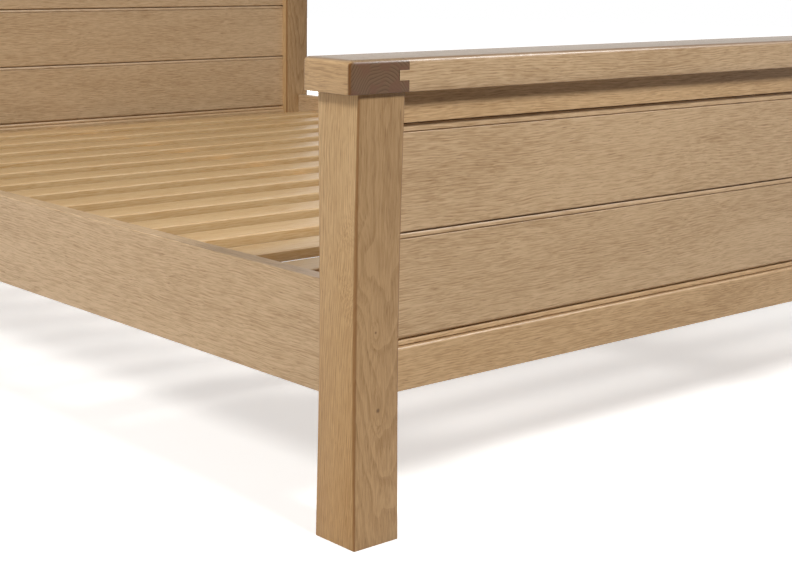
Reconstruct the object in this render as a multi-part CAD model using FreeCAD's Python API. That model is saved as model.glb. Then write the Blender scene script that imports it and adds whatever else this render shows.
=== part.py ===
import FreeCAD, Part
import math
import os

from FreeCAD import Vector

os.makedirs("parts", exist_ok=True)

# A solid oak panel bed. Millimetres, +Z up. X runs across the bed, Y from foot to head,
# and the origin is on the floor under the middle of the bed.

# ---- Mattress and ground clearance ----
mattress_width = 1500
mattress_length = 2000
mattress_side_room = 10      # left at each side, between mattress and side rail
mattress_end_room = 8        # left at each end, so the mattress passes the cap's overhang
floor_clearance = 195        # floor to the underside of every rail

# ---- Posts ----
post_width = 76              # across the bed
post_depth = 80              # along the bed, at the foot and at the cap
post_waist = 3.4             # hollow of the front and of the back face, half-way up
post_arris_end = 1           # flat worked on the four long edges, narrow at both ends
post_arris_waist = 5         # and widest half-way up
post_foot_chamfer = 1.5

# ---- Footboard and headboard panels ----
rail_setback = 16            # face of the rails behind the face of the posts
rail_thickness = 40
top_rail_height = 41
foot_rail_height = 68        # bottom rail of the footboard
head_rail_height = 119.5     # bottom rail of the headboard
foot_board_count = 2
head_board_count = 5
board_pitch = 140.5          # height of one board, shoulder to shoulder
board_thickness = 20
board_setback = 5            # face of the boards behind the face of the rails

# Tongue along the top of each board, groove along the bottom of the next
tongue_thickness = 6
tongue_height = 8
tongue_play = 0.3            # each side of a tongue in its groove
groove_room = 1.2            # free depth beyond the end of a tongue

# Moulding above the face of a board or bottom rail: quirk, bead and shadow gap
quirk_height = 1.8
quirk_depth = 3
bead_sink = 0.8              # foot of the bead behind the face below it
bead_lean = 1.4              # how far the bead leans back over its height
bead_swell = 0.5             # how far it rounds forward of the straight line
shadow_gap = 2.2             # open height between the bead and the piece above
board_bead = 5.2             # between two boards
rail_bead = 5.6              # on the bottom rail
topmost_bead = 9             # under the top rail, which stands further forward
board_lip = 0.8              # round on the edge under the quirk, on a board
rail_lip_height = 5          # the same on the bottom rail, which is rounder
rail_lip_depth = 2.4
board_bottom_round = 2.2
lowest_board_round = 4.5     # on the board above the bottom rail
edge_ease = 0.8              # small round on every other edge in view

# Joints of the panels into the posts
tenon_length = 30
tenon_thickness = 14
tenon_shoulder = 10          # rail left above and below its tenon
glue_gap = 0.15              # around tenons and dowels
tenon_end_room = 1
board_housing = 10           # how far the board ends run into the posts
board_end_room = 1

# ---- Cap rail ----
cap_thickness = 42
cap_end_overhang = 19        # beyond the outer face of the post
cap_side_overhang = 6.5      # beyond the front and the back of the post
cap_top_round = 7
cap_corner_round = 4.5
cap_bottom_round = 1.2
cap_tongue_thickness = 12.5  # through tongue of the long board, seen at the front
cap_tongue_length = 16
post_stub_width = 36         # stub tenon on top of each post, across the bed
post_stub_depth = 44
post_stub_height = 22
spline_thickness = 8         # loose tongue between the top rail and the cap
spline_height = 24           # half of it in each
spline_end_room = 2

# ---- Side rails ----
side_rail_thickness = 28
side_rail_height = 150
side_rail_setback = 5        # outer face behind the outer face of the post
side_rail_housing = 6        # how deep the rail ends sit in the posts
side_rail_round = 2
housing_play = 0.3

# ---- Hanger bolts, one at each end of a side rail ----
bolt_radius = 4
bolt_hole_radius = 4.5
bolt_reach = 34              # wood thread held in the post
bolt_pocket_radius = 16      # half-round pocket in the inner face of the rail
bolt_pocket_depth = 23
bolt_pocket_distance = 55    # end of the rail to the centre of the pocket
bolt_tail = 4                # bolt that shows beyond its nut
washer_thickness = 6         # half-moon washer, across its flat
washer_width = 14
nut_height = 6.5
nut_across_flats = 13
nut_bore_play = 0.1
hardware_play = 0.2

# ---- Slats and what carries them ----
cleat_width = 30
cleat_height = 30
cleat_end_distance = 60      # end of the cleat to the post
slat_count = 14
slat_width = 70
slat_thickness = 18
slat_run_room = 63           # inner face of the post to the nearest slat
slat_top_height = 305        # above the floor
slat_end_room = 2
slat_arris = 1.5

# ---- Centre rail, hangers and legs ----
centre_rail_width = 44
centre_rail_height = 70
hanger_thickness = 2.5
hanger_depth = 50
hanger_flange = 22
hanger_height = 39           # floor of the hanger to its top, beside the centre rail
hanger_play = 0.3
leg_width = 44
leg_distance = 330           # from the middle of the bed to each leg
leg_bottom_height = 18
leg_arris = 3
leg_stub_width = 22          # stub tenon of a leg, in a mortise in the centre rail
leg_stub_height = 20
stem_end_room = 2            # free depth above the stem, in the leg

# ---- Levelling feet under the centre legs ----
stem_radius = 4
stem_running_gap = 0.06      # between the stem and the thread of its insert
stem_hex_height = 4.7
stem_hex_across_flats = 13
stem_neck_radius = 3
stem_button_radius = 6
stem_button_height = 3.3
stem_travel = 15             # how far the foot screws out
stem_grip = 15               # thread left in the leg at full travel
foot_gap = 0.3               # around the button and above the hexagon
pad_radius = 19
pad_disc_height = 4.5
pad_hub_radius = 11
pad_height = 10.4
pad_floor = 3.4              # thickness under the button
leg_insert_radius = 6.5
leg_insert_length = 13

# ---- Places that follow from the sizes above ----
inner_half_width = mattress_width / 2 + mattress_side_room
rail_outer_x = inner_half_width + side_rail_thickness
post_outer_x = rail_outer_x + side_rail_setback
post_inner_x = post_outer_x - post_width
post_centre_x = post_outer_x - post_width / 2
bay_half_length = mattress_length / 2 + mattress_end_room
foot_post_front = -bay_half_length - post_depth
head_post_front = bay_half_length
side_rail_half_length = bay_half_length + side_rail_housing
side_rail_top = floor_clearance + side_rail_height
rail_middle_x = rail_outer_x - side_rail_thickness / 2
cleat_half_length = bay_half_length - cleat_end_distance
cleat_top = slat_top_height - slat_thickness
cleat_middle_x = inner_half_width - cleat_width / 2
centre_rail_bottom = cleat_top - centre_rail_height
stem_length = stem_travel + stem_grip
slat_run = 2 * (bay_half_length - slat_run_room) - slat_width
slat_pitch = slat_run / (slat_count - 1)
bolt_height = floor_clearance + side_rail_height / 2

nodes = {}


# ---- Small helpers ----
def box(x_range, y_range, z_range):
    size = [high - low for low, high in (x_range, y_range, z_range)]
    return Part.makeBox(*size, Vector(x_range[0], y_range[0], z_range[0]))


def span(centre, width):
    return (centre - width / 2, centre + width / 2)


def rod(start, direction, radius, length):
    return Part.makeCylinder(radius, length, start, direction)


def outline(start, *steps):
    """Closed wire from points; a step of two points is an arc through the first to the second."""
    edges = []
    here = start
    for step in steps + (start,):
        if isinstance(step, tuple):
            edges.append(Part.Arc(here, step[0], step[1]).toShape())
            here = step[1]
        elif (step - here).Length > 1e-6:
            edges.append(Part.LineSegment(here, step).toShape())
            here = step
    return Part.Wire(edges)


def extrude(wire, direction):
    return Part.Face(wire).extrude(direction)


def quarter_point(corner, start, end):
    """Middle point of the arc that rounds the given corner between start and end."""
    centre = start + end - corner
    return centre + (corner - centre) * math.sqrt(0.5)


def mirror_x(shape):
    return shape.mirror(Vector(0, 0, 0), Vector(1, 0, 0))


def add_pair(name, shape):
    """The same piece at both sides of the bed."""
    nodes[name + "_left"] = shape
    nodes[name + "_right"] = mirror_x(shape)


def edges_along(shape, direction):
    along = []
    for edge in shape.Edges:
        ends = edge.Vertexes[-1].Point - edge.Vertexes[0].Point
        if ends.Length > 1e-6 and abs(ends.normalize().dot(direction)) > 0.999:
            along.append(edge)
    return along


def eased_bar(x_range, y_range, z_range, direction, size):
    """Plain bar with a small flat planed off each long edge."""
    bar = box(x_range, y_range, z_range)
    return bar.makeChamfer(size, edges_along(bar, direction))


def turned(profile, start, axis):
    """Solid of revolution: profile is a list of (distance along the axis, radius)."""
    points = [Vector(radius, 0, along) for along, radius in profile]
    face = Part.Face(Part.makePolygon(points + [points[0]]))
    solid = face.revolve(Vector(0, 0, 0), Vector(0, 0, 1), 360)
    solid.Placement = FreeCAD.Placement(start, FreeCAD.Rotation(Vector(0, 0, 1), axis))
    return solid


def hexagon(centre, axis, across_flats, height):
    corner = across_flats / math.sqrt(3)
    points = []
    for index in range(6):
        angle = math.radians(60 * index)
        points.append(Vector(corner * math.cos(angle), corner * math.sin(angle), 0))
    solid = extrude(Part.makePolygon(points + [points[0]]), Vector(0, 0, height))
    solid.Placement = FreeCAD.Placement(centre, FreeCAD.Rotation(Vector(0, 0, 1), axis))
    return solid


X = Vector(1, 0, 0)
Y = Vector(0, 1, 0)
Z = Vector(0, 0, 1)


# ---- Panels: boards and rails share one tongue and one moulding ----
def tongue_faces(board_front):
    middle = board_front + board_thickness / 2
    return span(middle, tongue_thickness)


def top_moulding(face, board_front, top, bead, lip_height, lip_depth):
    """Steps from the face up over lip, quirk, bead and shadow gap to the tongue."""
    bead_top = top - shadow_gap
    bead_foot = bead_top - bead
    quirk_foot = bead_foot - quirk_height
    bead_face = board_front + bead_sink
    middle = Vector(0, bead_face + bead_lean / 2 - bead_swell, (bead_foot + bead_top) / 2)
    front, back = tongue_faces(board_front)
    lip_middle = Vector(0, face + lip_depth * 0.25, quirk_foot - lip_height * 0.38)
    return [
        Vector(0, face, quirk_foot - lip_height),
        (lip_middle, Vector(0, face + lip_depth, quirk_foot)),
        Vector(0, board_front + quirk_depth, quirk_foot),
        Vector(0, board_front + quirk_depth, bead_foot),
        Vector(0, bead_face, bead_foot),
        (middle, Vector(0, bead_face + bead_lean, bead_top)),
        Vector(0, front, bead_top),
        Vector(0, front, top + tongue_height),
        Vector(0, back, top + tongue_height),
        Vector(0, back, top),
    ]


def bottom_groove(board_front, bottom):
    front, back = tongue_faces(board_front)
    depth = tongue_height + groove_room
    return [
        Vector(0, back + tongue_play, bottom),
        Vector(0, back + tongue_play, bottom + depth),
        Vector(0, front - tongue_play, bottom + depth),
        Vector(0, front - tongue_play, bottom),
    ]


def along_bed_width(start, steps, half_length):
    section = outline(start, *steps)
    section.translate(Vector(-half_length, 0, 0))
    return extrude(section, Vector(2 * half_length, 0, 0))


def panel_board(front, bottom, bead, radius):
    """One board: groove below, moulding and tongue above, rounded lower front edge."""
    start = Vector(0, front + radius, bottom)
    corner = Vector(0, front, bottom)
    after = Vector(0, front, bottom + radius)
    top = bottom + board_pitch
    back = front + board_thickness
    steps = [(quarter_point(corner, start, after), after)]
    steps += top_moulding(front, front, top, bead, board_lip, board_lip)
    steps += [Vector(0, back, top), Vector(0, back, bottom)]
    steps += bottom_groove(front, bottom)
    return along_bed_width(start, steps, post_inner_x + board_housing - board_end_room)


def tenons(y_range, z_range, gap=0.0, room=0.0):
    reach = tenon_length + room
    y_size = (y_range[0] - gap, y_range[1] + gap)
    z_size = (z_range[0] - gap, z_range[1] + gap)
    return box((-post_inner_x - reach, post_inner_x + reach), y_size, z_size)


def rail_tenon_place(rail_front, bottom, top):
    y_range = span(rail_front + rail_thickness / 2, tenon_thickness)
    return y_range, (bottom + tenon_shoulder, top - tenon_shoulder)


def bottom_rail(rail_front, height):
    board_front = rail_front + board_setback
    top = floor_clearance + height
    back = rail_front + rail_thickness
    start = Vector(0, rail_front + edge_ease, floor_clearance)
    corner = Vector(0, rail_front, floor_clearance)
    after = Vector(0, rail_front, floor_clearance + edge_ease)
    steps = [(quarter_point(corner, start, after), after)]
    steps += top_moulding(rail_front, board_front, top, rail_bead, rail_lip_height, rail_lip_depth)
    steps += [Vector(0, back, top), Vector(0, back, floor_clearance)]
    body = along_bed_width(start, steps, post_inner_x)
    return body.fuse(tenons(*rail_tenon_place(rail_front, floor_clearance, top))).removeSplitter()


def top_rail(rail_front, bottom):
    top = bottom + top_rail_height
    back = rail_front + rail_thickness
    start = Vector(0, rail_front + edge_ease, bottom)
    corner = Vector(0, rail_front, bottom)
    after = Vector(0, rail_front, bottom + edge_ease)
    steps = [(quarter_point(corner, start, after), after), Vector(0, rail_front, top)]
    steps += [Vector(0, back, top), Vector(0, back, bottom)]
    steps += bottom_groove(rail_front + board_setback, bottom)
    body = along_bed_width(start, steps, post_inner_x)
    body = body.fuse(tenons(*rail_tenon_place(rail_front, bottom, top))).removeSplitter()
    return body.cut(cap_spline(rail_front, top, glue_gap, spline_end_room))


def cap_spline(rail_front, seam, gap=0.0, room=0.0):
    """Loose tongue across the seam between top rail and cap, or the two grooves for it."""
    half_length = post_inner_x - spline_end_room + room
    y_range = span(rail_front + rail_thickness / 2, spline_thickness + 2 * gap)
    return box((-half_length, half_length), y_range, span(seam, spline_height + 2 * gap))


# ---- Posts ----
def plain_post(front, height):
    """Blank of the left post: front and back faces hollow to a waist, long edges eased."""
    middle = Vector(-post_centre_x, front, 0)
    blank = waisted_slab(middle, Y, post_depth, 0, post_waist, height, X * post_width)
    foot = [edge for edge in blank.Edges if edge.BoundBox.ZMax < post_foot_chamfer]
    blank = blank.makeChamfer(post_foot_chamfer, foot)
    diagonal = (post_width + post_depth) / math.sqrt(2)
    end = post_arris_end / math.sqrt(2)
    waist = (post_arris_waist + post_waist) / math.sqrt(2)
    for side in (-1, 1):
        corner = middle + X * (side * post_width / 2)
        inward = Vector(-side, 1, 0).normalize()
        across = inward.cross(Z) * (2 * diagonal)
        blank = blank.common(waisted_slab(corner, inward, diagonal, end, waist, height, across))
    return blank


def waisted_slab(start, inward, thickness, end, waist, height, across):
    """Upright slab from start inwards; both faces sink by end at top and foot and by waist half-way up."""
    far = start + inward * thickness
    up = Z * height
    near_low = start + inward * end
    far_low = far - inward * end
    edges = [
        hollow_edge(near_low, start + inward * waist + up * 0.5, near_low + up),
        Part.LineSegment(near_low + up, far_low + up).toShape(),
        hollow_edge(far_low + up, far - inward * waist + up * 0.5, far_low),
        Part.LineSegment(far_low, near_low).toShape(),
    ]
    section = Part.Wire(edges)
    section.translate(across * -0.5)
    return extrude(section, across)


def hollow_edge(start, middle, end):
    """Even curve from start through middle to end."""
    curve = Part.BezierCurve()
    curve.setPoles([start, middle * 2 - (start + end) * 0.5, end])
    return curve.toShape()


def side_rail_end(face, outward):
    """Housing for the end of the side rail, in the face of the post that meets the bed."""
    reach = sorted((face - outward * post_waist, face + outward * side_rail_housing))
    x_range = (-rail_outer_x - housing_play, -inner_half_width + housing_play)
    z_range = (floor_clearance - housing_play, side_rail_top + housing_play)
    return box(x_range, tuple(reach), z_range)


def end_post(front, post_height, low_rail_height, face, outward):
    rail_front = front + rail_setback
    board_front = rail_front + board_setback
    low_top = floor_clearance + low_rail_height
    rail_bottom = post_height - top_rail_height
    post = plain_post(front, post_height)
    for bottom, top in ((floor_clearance, low_top), (rail_bottom, post_height)):
        place = rail_tenon_place(rail_front, bottom, top)
        post = post.cut(tenons(*place, glue_gap, tenon_end_room))
    groove_x = (-post_inner_x - board_housing, -post_inner_x + tenon_length)
    groove_y = (board_front - glue_gap, board_front + board_thickness + glue_gap)
    post = post.cut(box(groove_x, groove_y, (low_top, rail_bottom + tongue_height + groove_room)))
    post = post.cut(side_rail_end(face, outward))
    seat = Vector(-rail_middle_x, face + outward * side_rail_housing, bolt_height)
    post = post.cut(rod(seat, Y * outward, bolt_radius, bolt_reach + tenon_end_room))
    return post.fuse(post_stub(front, post_height)).removeSplitter()


def post_stub(front, height, gap=0.0, room=0.0):
    x_range = span(-post_centre_x, post_stub_width + 2 * gap)
    y_range = span(front + post_depth / 2, post_stub_depth + 2 * gap)
    return box(x_range, y_range, (height, height + post_stub_height + room))


# ---- Cap: long board between two cross-grained end blocks ----
def cap_section(front, bottom, x):
    """Section across the cap: top edges rounded over, bottom edges eased."""
    back = front + post_depth + 2 * cap_side_overhang
    return rounded_rectangle(front, back, bottom, lambda across, up: Vector(x, across, up))


def rounded_rectangle(low, high, bottom, point):
    top = bottom + cap_thickness
    small = cap_bottom_round
    large = cap_top_round
    corners = [
        (point(low, bottom), point(low + small, bottom), point(low, bottom + small)),
        (point(low, top), point(low, top - large), point(low + large, top)),
        (point(high, top), point(high - large, top), point(high, top - large)),
        (point(high, bottom), point(high, bottom + small), point(high - small, bottom)),
    ]
    steps = []
    for corner, before, after in corners:
        steps += [before, (quarter_point(corner, before, after), after)]
    return outline(steps[0], *steps[1:])


def cap_tongue(front, bottom, gap, reach):
    """Tongue of the long board at the left end, or the groove for it when gap is given."""
    depth = post_depth + 2 * cap_side_overhang
    z_range = span(bottom + cap_thickness / 2, cap_tongue_thickness + 2 * gap)
    return box((-post_inner_x - reach, -post_inner_x), (front, front + depth), z_range)


def cap_board(front, bottom):
    section = cap_section(front, bottom, -post_inner_x)
    board = extrude(section, X * (2 * post_inner_x))
    tongue = cap_tongue(front, bottom, 0, cap_tongue_length)
    return board.fuse([tongue, mirror_x(tongue)]).removeSplitter()


def cap_end(front, bottom):
    """Left end block: rounded over on three sides, grooved for the tongue."""
    depth = post_depth + 2 * cap_side_overhang
    outer = post_outer_x + cap_end_overhang
    length = outer - post_inner_x
    across = extrude(cap_section(front, bottom, -outer), X * length)
    ends = rounded_rectangle(-outer, outer, bottom, lambda x, up: Vector(x, front, up))
    along = extrude(ends, Y * depth)
    plan = box((-outer, -post_inner_x), (front, front + depth), (bottom, bottom + cap_thickness))
    corners = [edge for edge in edges_along(plan, Z) if edge.BoundBox.XMax < -outer + 1]
    block = plan.makeFillet(cap_corner_round, corners).common(across).common(along)
    return block.cut(cap_tongue(front, bottom, glue_gap, cap_tongue_length + tenon_end_room))


# ---- Footboard and headboard ----
def build_end(name, front, low_rail_height, board_count, face, outward):
    rail_front = front + rail_setback
    board_front = rail_front + board_setback
    low_top = floor_clearance + low_rail_height
    rail_bottom = low_top + board_count * board_pitch
    post_height = rail_bottom + top_rail_height
    cap_front = front - cap_side_overhang

    add_pair(name + "_post", end_post(front, post_height, low_rail_height, face, outward))
    nodes[name + "_bottom_rail"] = bottom_rail(rail_front, low_rail_height)
    nodes[name + "_top_rail"] = top_rail(rail_front, rail_bottom)
    for index in range(board_count):
        topmost = index == board_count - 1
        bead = topmost_bead if topmost else board_bead
        radius = board_bottom_round if index else lowest_board_round
        board = panel_board(board_front, low_top + index * board_pitch, bead, radius)
        nodes["%s_panel_board_%d" % (name, index + 1)] = board

    board = cap_board(cap_front, post_height)
    nodes[name + "_cap_board"] = board.cut(cap_spline(rail_front, post_height, glue_gap, spline_end_room))
    end_block = cap_end(cap_front, post_height)
    add_pair(name + "_cap_end", end_block.cut(post_stub(front, post_height, glue_gap, tenon_end_room)))
    nodes[name + "_cap_spline"] = cap_spline(rail_front, post_height)


# ---- Side rails with their bolts ----
def side_rail():
    y_range = (-side_rail_half_length, side_rail_half_length)
    z_range = (floor_clearance, side_rail_top)
    rail = box((-rail_outer_x, -inner_half_width), y_range, z_range)
    rail = rail.makeFillet(side_rail_round, edges_along(rail, Y))
    for end in y_range:
        inward = -math.copysign(1, end)
        start = Vector(-rail_middle_x, end - inward, bolt_height)
        rail = rail.cut(rod(start, Y * inward, bolt_hole_radius, bolt_pocket_distance))
        rail = rail.cut(pocket(end, inward))
    return rail


def pocket(end, inward):
    """Half-round pocket in the inner face of the left side rail."""
    y = end + inward * bolt_pocket_distance
    start = Vector(-inner_half_width - bolt_pocket_depth, y, bolt_height)
    return rod(start, X, bolt_pocket_radius, bolt_pocket_depth + 1)


def bolt_fixings(end, inward):
    """Hanger bolt, half-moon washer and nut at one end of the left side rail."""
    seat = Vector(-rail_middle_x, end, bolt_height)
    into_rail = Y * inward
    wall = bolt_pocket_distance - bolt_pocket_radius

    flat = wall + washer_thickness
    middle = Vector(-rail_middle_x, end + inward * bolt_pocket_distance, bolt_height)
    washer = rod(middle - X * (washer_width / 2), X, bolt_pocket_radius - hardware_play, washer_width)
    far = sorted((end + inward * flat, end + inward * (flat + 2 * bolt_pocket_radius)))
    away = box(span(-rail_middle_x, 2 * washer_width), tuple(far), span(bolt_height, 3 * bolt_pocket_radius))
    washer = washer.cut(away).cut(rod(seat, into_rail, bolt_hole_radius, 2 * bolt_pocket_distance))

    nut = hexagon(seat + into_rail * flat, into_rail, nut_across_flats, nut_height)
    nut = nut.cut(rod(seat, into_rail, bolt_radius + nut_bore_play, 2 * bolt_pocket_distance))

    length = bolt_reach + flat + nut_height + bolt_tail
    bolt = rod(seat - into_rail * bolt_reach, into_rail, bolt_radius, length)
    return {"bolt": bolt, "washer": washer, "nut": nut}


# ---- Slats and the cleats that carry them ----
def slat_places():
    return [slat_pitch * (index - (slat_count - 1) / 2) for index in range(slat_count)]


def cleat():
    x_range = (-inner_half_width, -inner_half_width + cleat_width)
    y_range = (-cleat_half_length, cleat_half_length)
    return eased_bar(x_range, y_range, (cleat_top - cleat_height, cleat_top), Y, edge_ease)


def slat(y):
    half_length = inner_half_width - slat_end_room
    z_range = (cleat_top, slat_top_height)
    return eased_bar((-half_length, half_length), span(y, slat_width), z_range, X, slat_arris)


# ---- Centre rail on its hangers and legs ----
def hanger(face, inward):
    """Bent steel stirrup screwed to a bottom rail; the centre rail drops into it."""
    half_pocket = centre_rail_width / 2 + hanger_play
    half_cheek = half_pocket + hanger_thickness
    half_plate = half_cheek + hanger_flange
    floor = centre_rail_bottom - hanger_thickness
    hanger_top = floor + hanger_height
    plate = tuple(sorted((face, face + inward * hanger_thickness)))
    reach = tuple(sorted((face, face + inward * hanger_depth)))
    body = box((-half_plate, half_plate), plate, (floor, hanger_top))
    body = body.fuse(box((-half_cheek, half_cheek), reach, (floor, centre_rail_bottom)))
    for side in (-1, 1):
        cheek = tuple(sorted((side * half_pocket, side * half_cheek)))
        body = body.fuse(box(cheek, reach, (floor, hanger_top)))
    return body.removeSplitter()


def leg_stub(y, gap=0.0, room=0.0):
    side = leg_stub_width + 2 * gap
    return box(span(0, side), span(y, side), (centre_rail_bottom, centre_rail_bottom + leg_stub_height + room))


def centre_rail(y_range):
    rail = eased_bar(span(0, centre_rail_width), y_range, (centre_rail_bottom, cleat_top), Y, slat_arris)
    for y in (-leg_distance, leg_distance):
        rail = rail.cut(leg_stub(y, glue_gap, tenon_end_room))
    return rail


def centre_leg(y):
    z_range = (leg_bottom_height, centre_rail_bottom)
    leg = eased_bar(span(0, leg_width), span(y, leg_width), z_range, Z, leg_arris)
    bottom = Vector(0, y, leg_bottom_height)
    leg = leg.cut(rod(bottom, Z, leg_insert_radius, leg_insert_length))
    leg = leg.cut(rod(bottom, Z, stem_radius + 2 * foot_gap, stem_length + stem_end_room))
    return leg.fuse(leg_stub(y)).removeSplitter()


def leg_insert(y):
    """Threaded barrel pressed into the underside of the leg."""
    bottom = Vector(0, y, leg_bottom_height)
    body = rod(bottom, Z, leg_insert_radius, leg_insert_length)
    return body.cut(rod(bottom, Z, stem_radius + stem_running_gap, leg_insert_length))


def leveller_stem(y):
    """Threaded stem with a hexagon for the spanner and a button that snaps into the pad."""
    hex_top = leg_bottom_height - foot_gap
    hex_bottom = hex_top - stem_hex_height
    button_bottom = pad_floor + foot_gap
    axis = Vector(0, y, 0)
    button = rod(axis + Z * button_bottom, Z, stem_button_radius, stem_button_height)
    neck = rod(axis + Z * button_bottom, Z, stem_neck_radius, hex_bottom - button_bottom)
    nut = hexagon(axis + Z * hex_bottom, Z, stem_hex_across_flats, stem_hex_height)
    thread = rod(axis + Z * hex_bottom, Z, stem_radius, stem_hex_height + stem_length)
    return button.fuse([neck, nut, thread]).removeSplitter()


def leveller_pad(y):
    """Round pad: a disc with a hub, and in the hub a lip that holds the stem's button."""
    button_top = pad_floor + foot_gap + stem_button_height + foot_gap
    profile = [
        (0, 0),
        (0, pad_radius),
        (pad_disc_height, pad_radius),
        (pad_disc_height, pad_hub_radius),
        (pad_height, pad_hub_radius),
        (pad_height, stem_neck_radius + foot_gap),
        (button_top, stem_neck_radius + foot_gap),
        (button_top, stem_button_radius + foot_gap),
        (pad_floor, stem_button_radius + foot_gap),
        (pad_floor, 0),
    ]
    return turned(profile, Vector(0, y, 0), Z)


# ---- Assembly ----
build_end("foot", foot_post_front, foot_rail_height, foot_board_count, -bay_half_length, -1)
build_end("head", head_post_front, head_rail_height, head_board_count, bay_half_length, 1)

add_pair("side_rail", side_rail())
add_pair("slat_cleat", cleat())

fixings = {"bolt": [], "washer": [], "nut": []}
for rail_end in (-side_rail_half_length, side_rail_half_length):
    for kind, solid in bolt_fixings(rail_end, -math.copysign(1, rail_end)).items():
        fixings[kind].append(solid)


def both_sides(shapes):
    return Part.makeCompound(shapes + [mirror_x(shape) for shape in shapes])


nodes["bed_bolts"] = both_sides(fixings["bolt"])
nodes["half_moon_washers"] = both_sides(fixings["washer"])
nodes["bed_bolt_nuts"] = both_sides(fixings["nut"])

for number, slat_y in enumerate(slat_places(), start=1):
    nodes["slat_%02d" % number] = slat(slat_y)

foot_face = foot_post_front + rail_setback + rail_thickness
head_face = head_post_front + rail_setback
nodes["centre_rail"] = centre_rail((foot_face + hanger_thickness, head_face - hanger_thickness))
nodes["centre_rail_hanger_foot"] = hanger(foot_face, 1)
nodes["centre_rail_hanger_head"] = hanger(head_face, -1)

for leg_name, leg_y in (("foot", -leg_distance), ("head", leg_distance)):
    nodes["centre_leg_" + leg_name] = centre_leg(leg_y)
    nodes["leveller_stem_" + leg_name] = leveller_stem(leg_y)
    nodes["leveller_pad_" + leg_name] = leveller_pad(leg_y)
nodes["leg_inserts"] = Part.makeCompound([leg_insert(-leg_distance), leg_insert(leg_distance)])

for name, shape in nodes.items():
    shape.exportStep("parts/%s.step" % name)
print(len(nodes), "nodes")
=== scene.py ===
import math

import bpy
from mathutils import Euler, Matrix, Vector


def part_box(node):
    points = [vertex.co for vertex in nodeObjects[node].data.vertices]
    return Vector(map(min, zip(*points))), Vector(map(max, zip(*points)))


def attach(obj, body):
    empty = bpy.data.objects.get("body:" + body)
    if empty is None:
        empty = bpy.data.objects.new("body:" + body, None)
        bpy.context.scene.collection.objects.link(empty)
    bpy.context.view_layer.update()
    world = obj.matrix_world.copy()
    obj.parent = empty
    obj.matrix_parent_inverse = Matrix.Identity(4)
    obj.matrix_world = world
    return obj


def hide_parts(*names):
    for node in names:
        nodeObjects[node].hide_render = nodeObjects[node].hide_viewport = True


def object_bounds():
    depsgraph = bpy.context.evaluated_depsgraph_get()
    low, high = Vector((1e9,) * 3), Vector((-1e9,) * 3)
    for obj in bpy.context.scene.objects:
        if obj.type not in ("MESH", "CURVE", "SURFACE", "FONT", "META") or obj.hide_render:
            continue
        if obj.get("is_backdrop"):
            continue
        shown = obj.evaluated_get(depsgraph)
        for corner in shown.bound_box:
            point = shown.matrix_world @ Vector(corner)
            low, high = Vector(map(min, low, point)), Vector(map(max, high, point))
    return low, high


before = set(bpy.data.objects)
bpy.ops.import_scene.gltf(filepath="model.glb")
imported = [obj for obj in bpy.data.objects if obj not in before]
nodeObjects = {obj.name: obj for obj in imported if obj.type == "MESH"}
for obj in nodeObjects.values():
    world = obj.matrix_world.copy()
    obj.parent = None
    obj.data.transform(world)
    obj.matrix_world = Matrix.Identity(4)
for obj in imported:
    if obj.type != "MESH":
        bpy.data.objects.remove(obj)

scene = bpy.context.scene
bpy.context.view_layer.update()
bpy.ops.object.select_all(action="DESELECT")
millimetre = 0.001

# Solid oak panel bed, seen from outside its left foot corner.
# X runs across the bed, Y from foot to head, Z up, and the floor is at zero.

print("camera")
cameraView = {
    "place": (-2.0212, -2.5382, 0.7586),
    "turn": -41.724,  # degrees about Z
    "down": 12.201,
    "roll": 0.912,
    "lens": 71.55,
    "sensor": 36.0,
}
bpy.ops.object.camera_add(location=cameraView["place"])
camera = bpy.context.object
camera.name = "cornerCamera"
turn = Matrix.Rotation(math.radians(cameraView["turn"]), 3, "Z")
tilt = Matrix.Rotation(math.radians(90 - cameraView["down"]), 3, "X")
roll = Matrix.Rotation(math.radians(cameraView["roll"]), 3, "Z")
camera.rotation_euler = (turn @ tilt @ roll).to_euler()
camera.data.lens = cameraView["lens"]
camera.data.sensor_width = cameraView["sensor"]
camera.data.clip_end = 60
scene.camera = camera
scene.view_settings.view_transform = "Standard"


def hexToLinear(code):
    channels = [int(code[start:start + 2], 16) / 255 for start in (1, 3, 5)]
    linear = [c / 12.92 if c <= 0.04045 else ((c + 0.055) / 1.055) ** 2.4 for c in channels]
    return (*linear, 1.0)


def addNode(tree, kind, settings=None, links=None):
    node = tree.nodes.new("ShaderNode" + kind)
    for name, value in (settings or {}).items():
        if isinstance(name, str) and hasattr(node, name):
            setattr(node, name, value)
        else:
            node.inputs[name].default_value = value
    for name, source in (links or {}).items():
        tree.links.new(source, node.inputs[name])
    return node


def mixColour(tree, share, first, second):
    # each colour is a hex code or comes out of another node
    node = addNode(tree, "Mix", {"data_type": "RGBA"})
    for slot, value in ((0, share), (6, first), (7, second)):
        if isinstance(value, str):
            node.inputs[slot].default_value = hexToLinear(value)
        else:
            tree.links.new(value, node.inputs[slot])
    return node.outputs[2]


def newMaterial(name):
    material = bpy.data.materials.new(name)
    material.use_nodes = True
    tree = material.node_tree
    tree.nodes.clear()
    shader = addNode(tree, "BsdfPrincipled")
    addNode(tree, "OutputMaterial", links={"Surface": shader.outputs[0]})
    return material, tree, shader


def setRamp(ramp, stops):
    while len(ramp.elements) < len(stops):
        ramp.elements.new(0.5)
    for element, (place, colour) in zip(ramp.elements, stops):
        element.position = place
        element.color = colour if isinstance(colour, tuple) else (colour, colour, colour, 1)


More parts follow.
